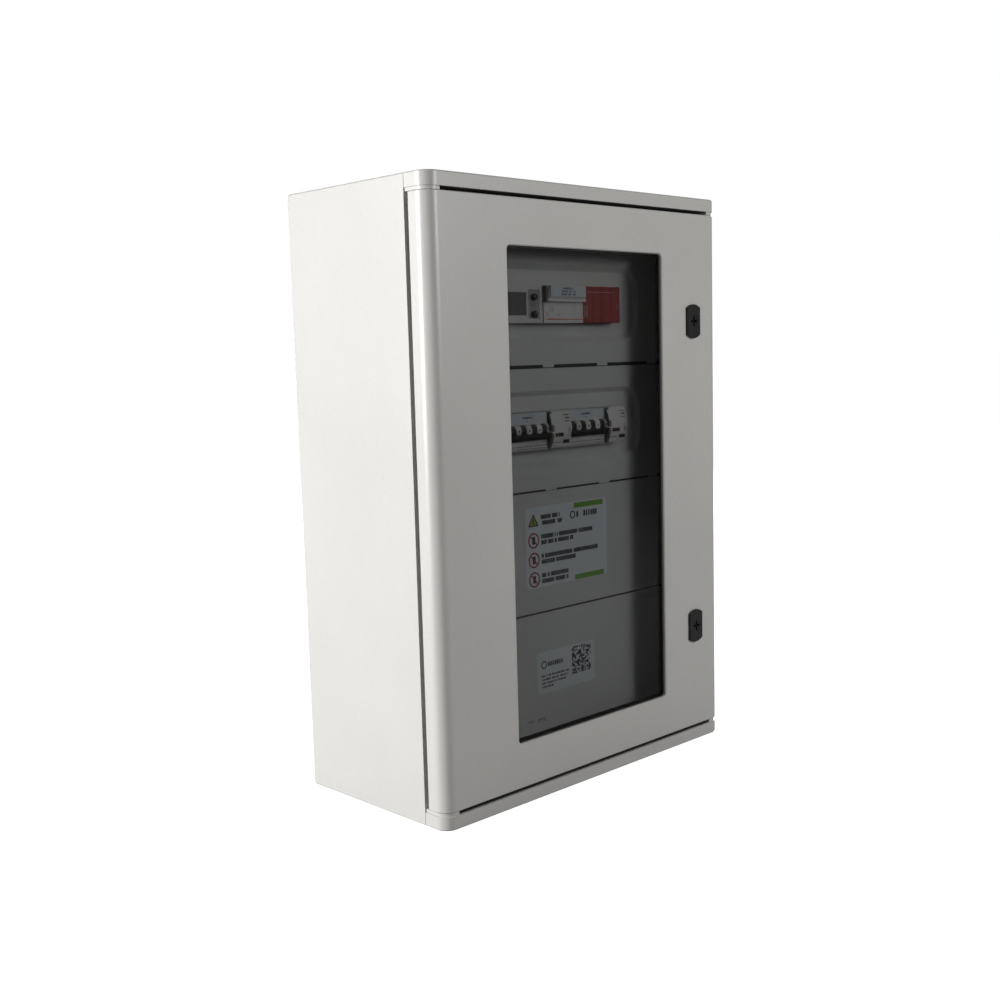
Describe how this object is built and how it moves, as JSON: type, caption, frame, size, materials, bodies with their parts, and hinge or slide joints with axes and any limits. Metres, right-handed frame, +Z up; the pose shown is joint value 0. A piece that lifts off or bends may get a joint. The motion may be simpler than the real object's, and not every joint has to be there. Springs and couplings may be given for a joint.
{
  "type": "dc combiner box",
  "caption": "Wall cabinet for solar string protection: moulded body, hinged window door with two locks, inner covers, rail-mounted breakers, fuse base, surge arrester and relay.",
  "frame": {"origin": "centre of the rectangular wall-fixing pattern, on the back face of the cabinet", "axes": "+X to the viewer's right, -Y out of the door, +Z up"},
  "size_m": [0.51, 0.2535, 0.72],
  "materials": {
    "grp_body": "fine satin moulded surface, light grey",
    "cover_grey": "satin moulded",
    "device_grey": "satin moulded",
    "device_light": "satin moulded",
    "label_blue": "clear strip over printed card",
    "black_plastic": "fine grain, black",
    "lock_black": "smooth black",
    "dark_window": "smooth dark tinted window",
    "white_plastic": "smooth white",
    "surge_red": "satin moulded, red",
    "smoked_glass": "smooth smoked pane",
    "rubber_black": "soft black seal",
    "foam_seal": "closed-cell foam",
    "zinc_steel": "bright zinc plated",
    "rail_steel": "zinc plated sheet",
    "nylon_white": "natural nylon",
    "terminal_grey": "satin moulded, grey",
    "earth_brass": "plain drawn brass",
    "label_film": "printed adhesive film",
    "ceramic_white": "glazed tube"
  },
  "bodies": {
    "cabinet": {"enclosure_body": "grp_body", "rim_corner_blocks": "grp_body", "hinge_bushes": "nylon_white", "lock_keepers": "zinc_steel", "keeper_screws": "zinc_steel", "mounting_uprights": "zinc_steel", "upright_spacers": "zinc_steel", "upright_screws": "zinc_steel", "din_rails": "rail_steel", "din_rail_screws": "zinc_steel", "cover_carriers": "zinc_steel", "carrier_screws": "zinc_steel", "cover_panel_1": "cover_grey", "cover_panel_2": "cover_grey", "cover_panel_3": "cover_grey", "cover_panel_4": "cover_grey", "cover_screws": "cover_grey", "cover_tabs": "cover_grey", "relay_housing": "device_grey", "relay_display": "dark_window", "fuse_base": "device_light", "fuse_cartridges": "ceramic_white", "surge_base": "surge_red", "surge_cartridges": "surge_red", "breaker_1_housing": "device_light", "breaker_2_housing": "device_light", "breaker_label_strips": "label_blue", "rcd_1_housing": "device_light", "rcd_2_housing": "device_light", "rcd_windows": "dark_window", "rcd_trip_pins": "white_plastic", "slot_blanks": "cover_grey", "terminal_blocks": "terminal_grey", "terminal_end_stops": "terminal_grey", "earth_bar": "earth_brass", "earth_bar_supports": "nylon_white", "earth_bar_screws": "zinc_steel", "safety_label": "label_film", "data_label": "label_film"},
    "door": {"door_shell": "grp_body", "door_gasket": "foam_seal", "window_gasket": "rubber_black", "window_pane": "smoked_glass", "pane_clips": "zinc_steel", "pane_clip_screws": "zinc_steel", "hinge_pins": "zinc_steel", "lock_housings": "lock_black", "lock_nuts": "zinc_steel"},
    "upper_lock": {"upper_lock_insert": "lock_black", "upper_lock_cam": "zinc_steel"},
    "lower_lock": {"lower_lock_insert": "lock_black", "lower_lock_cam": "zinc_steel"},
    "relay_knob_a": {"relay_knob_upper": "black_plastic"},
    "relay_knob_b": {"relay_knob_lower": "black_plastic"},
    "fuse_lever": {"fuse_lever": "device_light"},
    "breaker_1_toggles": {"breaker_1_toggles": "black_plastic"},
    "breaker_2_toggles": {"breaker_2_toggles": "black_plastic"},
    "rcd_1_test_button": {"rcd_1_test_button": "black_plastic"},
    "rcd_2_test_button": {"rcd_2_test_button": "black_plastic"}
  },
  "joints": [
    {"name": "door_hinge", "type": "hinge", "parent": "cabinet", "child": "door", "pos_m": [-0.243, -0.236, 0], "axis": [0, 0, -1], "range_deg": [0, 180]},
    {"name": "upper_lock_turn", "type": "hinge", "parent": "door", "child": "upper_lock", "pos_m": [0.19993, -0.24, 0.202], "axis": [0, 1, 0], "range_deg": [-90, 0]},
    {"name": "lower_lock_turn", "type": "hinge", "parent": "door", "child": "lower_lock", "pos_m": [0.19993, -0.24, -0.202], "axis": [0, 1, 0], "range_deg": [0, 90]},
    {"name": "relay_knob_upper_turn", "type": "hinge", "parent": "cabinet", "child": "relay_knob_a", "pos_m": [-0.0601, -0.214, 0.2318], "axis": [0, 1, 0], "range_deg": [-150, 150]},
    {"name": "relay_knob_lower_turn", "type": "hinge", "parent": "cabinet", "child": "relay_knob_b", "pos_m": [-0.0601, -0.214, 0.2118], "axis": [0, 1, 0], "range_deg": [-150, 150]},
    {"name": "fuse_lever_swing", "type": "hinge", "parent": "cabinet", "child": "fuse_lever", "pos_m": [-0.00875, -0.216, 0.2285], "axis": [1, 0, 0], "range_deg": [0, 70]},
    {"name": "breaker_1_switch", "type": "hinge", "parent": "cabinet", "child": "breaker_1_toggles", "pos_m": [-0.07375, -0.209, 0.0748], "axis": [-1, 0, 0], "range_deg": [0, 70]},
    {"name": "breaker_2_switch", "type": "hinge", "parent": "cabinet", "child": "breaker_2_toggles", "pos_m": [0.03125, -0.209, 0.0748], "axis": [-1, 0, 0], "range_deg": [0, 70]},
    {"name": "rcd_1_test_press", "type": "slide", "parent": "cabinet", "child": "rcd_1_test_button", "axis": [0, 1, 0], "range_m": [0, 0.0015], "stiffness_N_per_m": 400},
    {"name": "rcd_2_test_press", "type": "slide", "parent": "cabinet", "child": "rcd_2_test_button", "axis": [0, 1, 0], "range_m": [0, 0.0015], "stiffness_N_per_m": 400}
  ]
}
